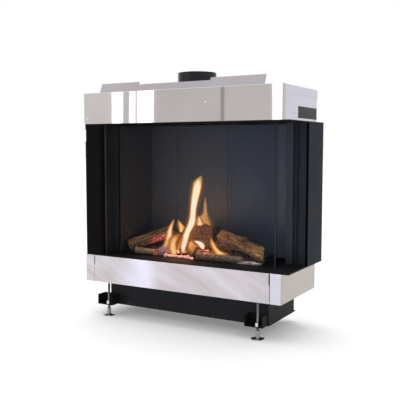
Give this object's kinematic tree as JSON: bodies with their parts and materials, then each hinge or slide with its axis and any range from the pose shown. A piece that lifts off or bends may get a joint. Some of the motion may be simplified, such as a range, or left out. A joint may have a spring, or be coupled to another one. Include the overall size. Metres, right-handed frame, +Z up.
{
  "type": "gas fireplace",
  "caption": "Built-in balanced-flue gas fireplace with corner glass, steel shroud and base, ceramic logs, concentric flue spigot and levelling feet.",
  "frame": {"origin": "on the floor, below the middle of the part's bounding box", "axes": "+Z up, the front glass faces -Y, the side glass faces +X"},
  "size_m": [0.89, 0.3364, 0.971],
  "materials": {
    "casing_steel": "bright rolled stainless steel with a fine grain, smooth enough to mirror soft shapes",
    "galvanised": "dull zinc-coated sheet",
    "black_paint": "heat-proof black paint, satin",
    "data_plate": "bare dark plate, satin",
    "zinc": "bright zinc plate",
    "clear_glass": "clear ceramic glass",
    "seal": "black heat-proof seal",
    "black_glass": "black glass, glossy, opaque",
    "brass": "turned brass",
    "copper_pipe": "drawn copper pipe",
    "valve_alloy": "die-cast alloy",
    "black_plastic": "moulded plastic, fine matt",
    "lever_paint": "yellow paint",
    "log_ceramic": "cast ceramic fibre with a bark relief, charred in places",
    "embers": "loose ceramic embers"
  },
  "bodies": {
    "casing": {"shroud_front": "casing_steel", "shroud_side": "casing_steel", "shroud_lid": "casing_steel", "left_casing": "casing_steel", "heat_deflector": "casing_steel", "base_left_corner": "casing_steel", "base_right_corner": "casing_steel", "rear_panel": "galvanised", "base_floor": "galvanised", "hatch_bracket": "galvanised", "top_glass_channels": "galvanised", "bottom_glass_channels": "galvanised", "firebox_shell": "galvanised", "flue_inner_spigot": "galvanised", "flue_spacers": "galvanised", "burner_tray": "galvanised", "burner": "galvanised", "pilot_bracket": "galvanised", "flue_outer_spigot": "black_paint", "top_plate": "black_paint", "bottom_ledge": "black_paint", "left_jamb": "black_paint", "left_glass_clamp": "black_paint", "side_glass_clamp": "black_paint", "right_jamb": "black_paint", "right_rear_panel": "black_paint", "plinth_front": "black_paint", "plinth_frame": "black_paint", "foot_brackets": "black_paint", "data_plate": "data_plate", "casing_screws": "zinc", "lock_nuts": "zinc", "pilot_probes": "zinc", "side_glass": "clear_glass", "corner_seal": "seal", "side_liners": "black_glass", "back_liners": "black_glass", "injector": "brass", "shutoff_valve": "brass", "gas_manifold": "copper_pipe", "gas_valve": "valve_alloy", "log_back": "log_ceramic", "log_left": "log_ceramic", "log_right": "log_ceramic", "log_center": "log_ceramic", "log_upright": "log_ceramic", "log_front": "log_ceramic", "log_low": "log_ceramic", "wood_chips": "log_ceramic", "ember_bed": "embers"},
    "front_glass": {"front_glass": "clear_glass"},
    "base_front_panel": {"base_front_panel": "casing_steel"},
    "relief_hatch": {"relief_hatch": "galvanised"},
    "control_knob": {"control_knob": "black_plastic"},
    "pilot_button": {"pilot_button": "black_plastic"},
    "shutoff_lever": {"shutoff_lever": "lever_paint"},
    "foot_front_left": {"foot_front_left": "zinc"},
    "foot_front_right": {"foot_front_right": "zinc"},
    "foot_rear_left": {"foot_rear_left": "zinc"},
    "foot_rear_right": {"foot_rear_right": "zinc"}
  },
  "joints": [
    {"name": "front_glass_lift", "type": "slide", "parent": "casing", "child": "front_glass", "axis": [0, 0, 1], "range_m": [0, 0.012]},
    {"name": "base_panel_pull", "type": "slide", "parent": "casing", "child": "base_front_panel", "axis": [0, -1, 0], "range_m": [0, 0.15]},
    {"name": "hatch_swing", "type": "hinge", "parent": "casing", "child": "relief_hatch", "pos_m": [0.21012, 0.04568, 0.7813], "axis": [-1, 0, 0], "range_deg": [0, 30]},
    {"name": "knob_turn", "type": "hinge", "parent": "casing", "child": "control_knob", "pos_m": [0.18481, -0.061, 0.1715], "axis": [0, -1, 0], "range_deg": [0, 120]},
    {"name": "pilot_press", "type": "slide", "parent": "casing", "child": "pilot_button", "axis": [0, 1, 0], "range_m": [0, 0.004], "stiffness_N_per_m": 400},
    {"name": "shutoff_turn", "type": "hinge", "parent": "casing", "child": "shutoff_lever", "pos_m": [0.12581, -0.012, 0.1875], "axis": [0, 0, 1], "range_deg": [0, 90]},
    {"name": "level_front_left", "type": "slide", "parent": "casing", "child": "foot_front_left", "axis": [0, 0, 1], "range_m": [-0.03, 0.008]},
    {"name": "level_front_right", "type": "slide", "parent": "casing", "child": "foot_front_right", "axis": [0, 0, 1], "range_m": [-0.03, 0.008]},
    {"name": "level_rear_left", "type": "slide", "parent": "casing", "child": "foot_rear_left", "axis": [0, 0, 1], "range_m": [-0.03, 0.008]},
    {"name": "level_rear_right", "type": "slide", "parent": "casing", "child": "foot_rear_right", "axis": [0, 0, 1], "range_m": [-0.03, 0.008]}
  ]
}
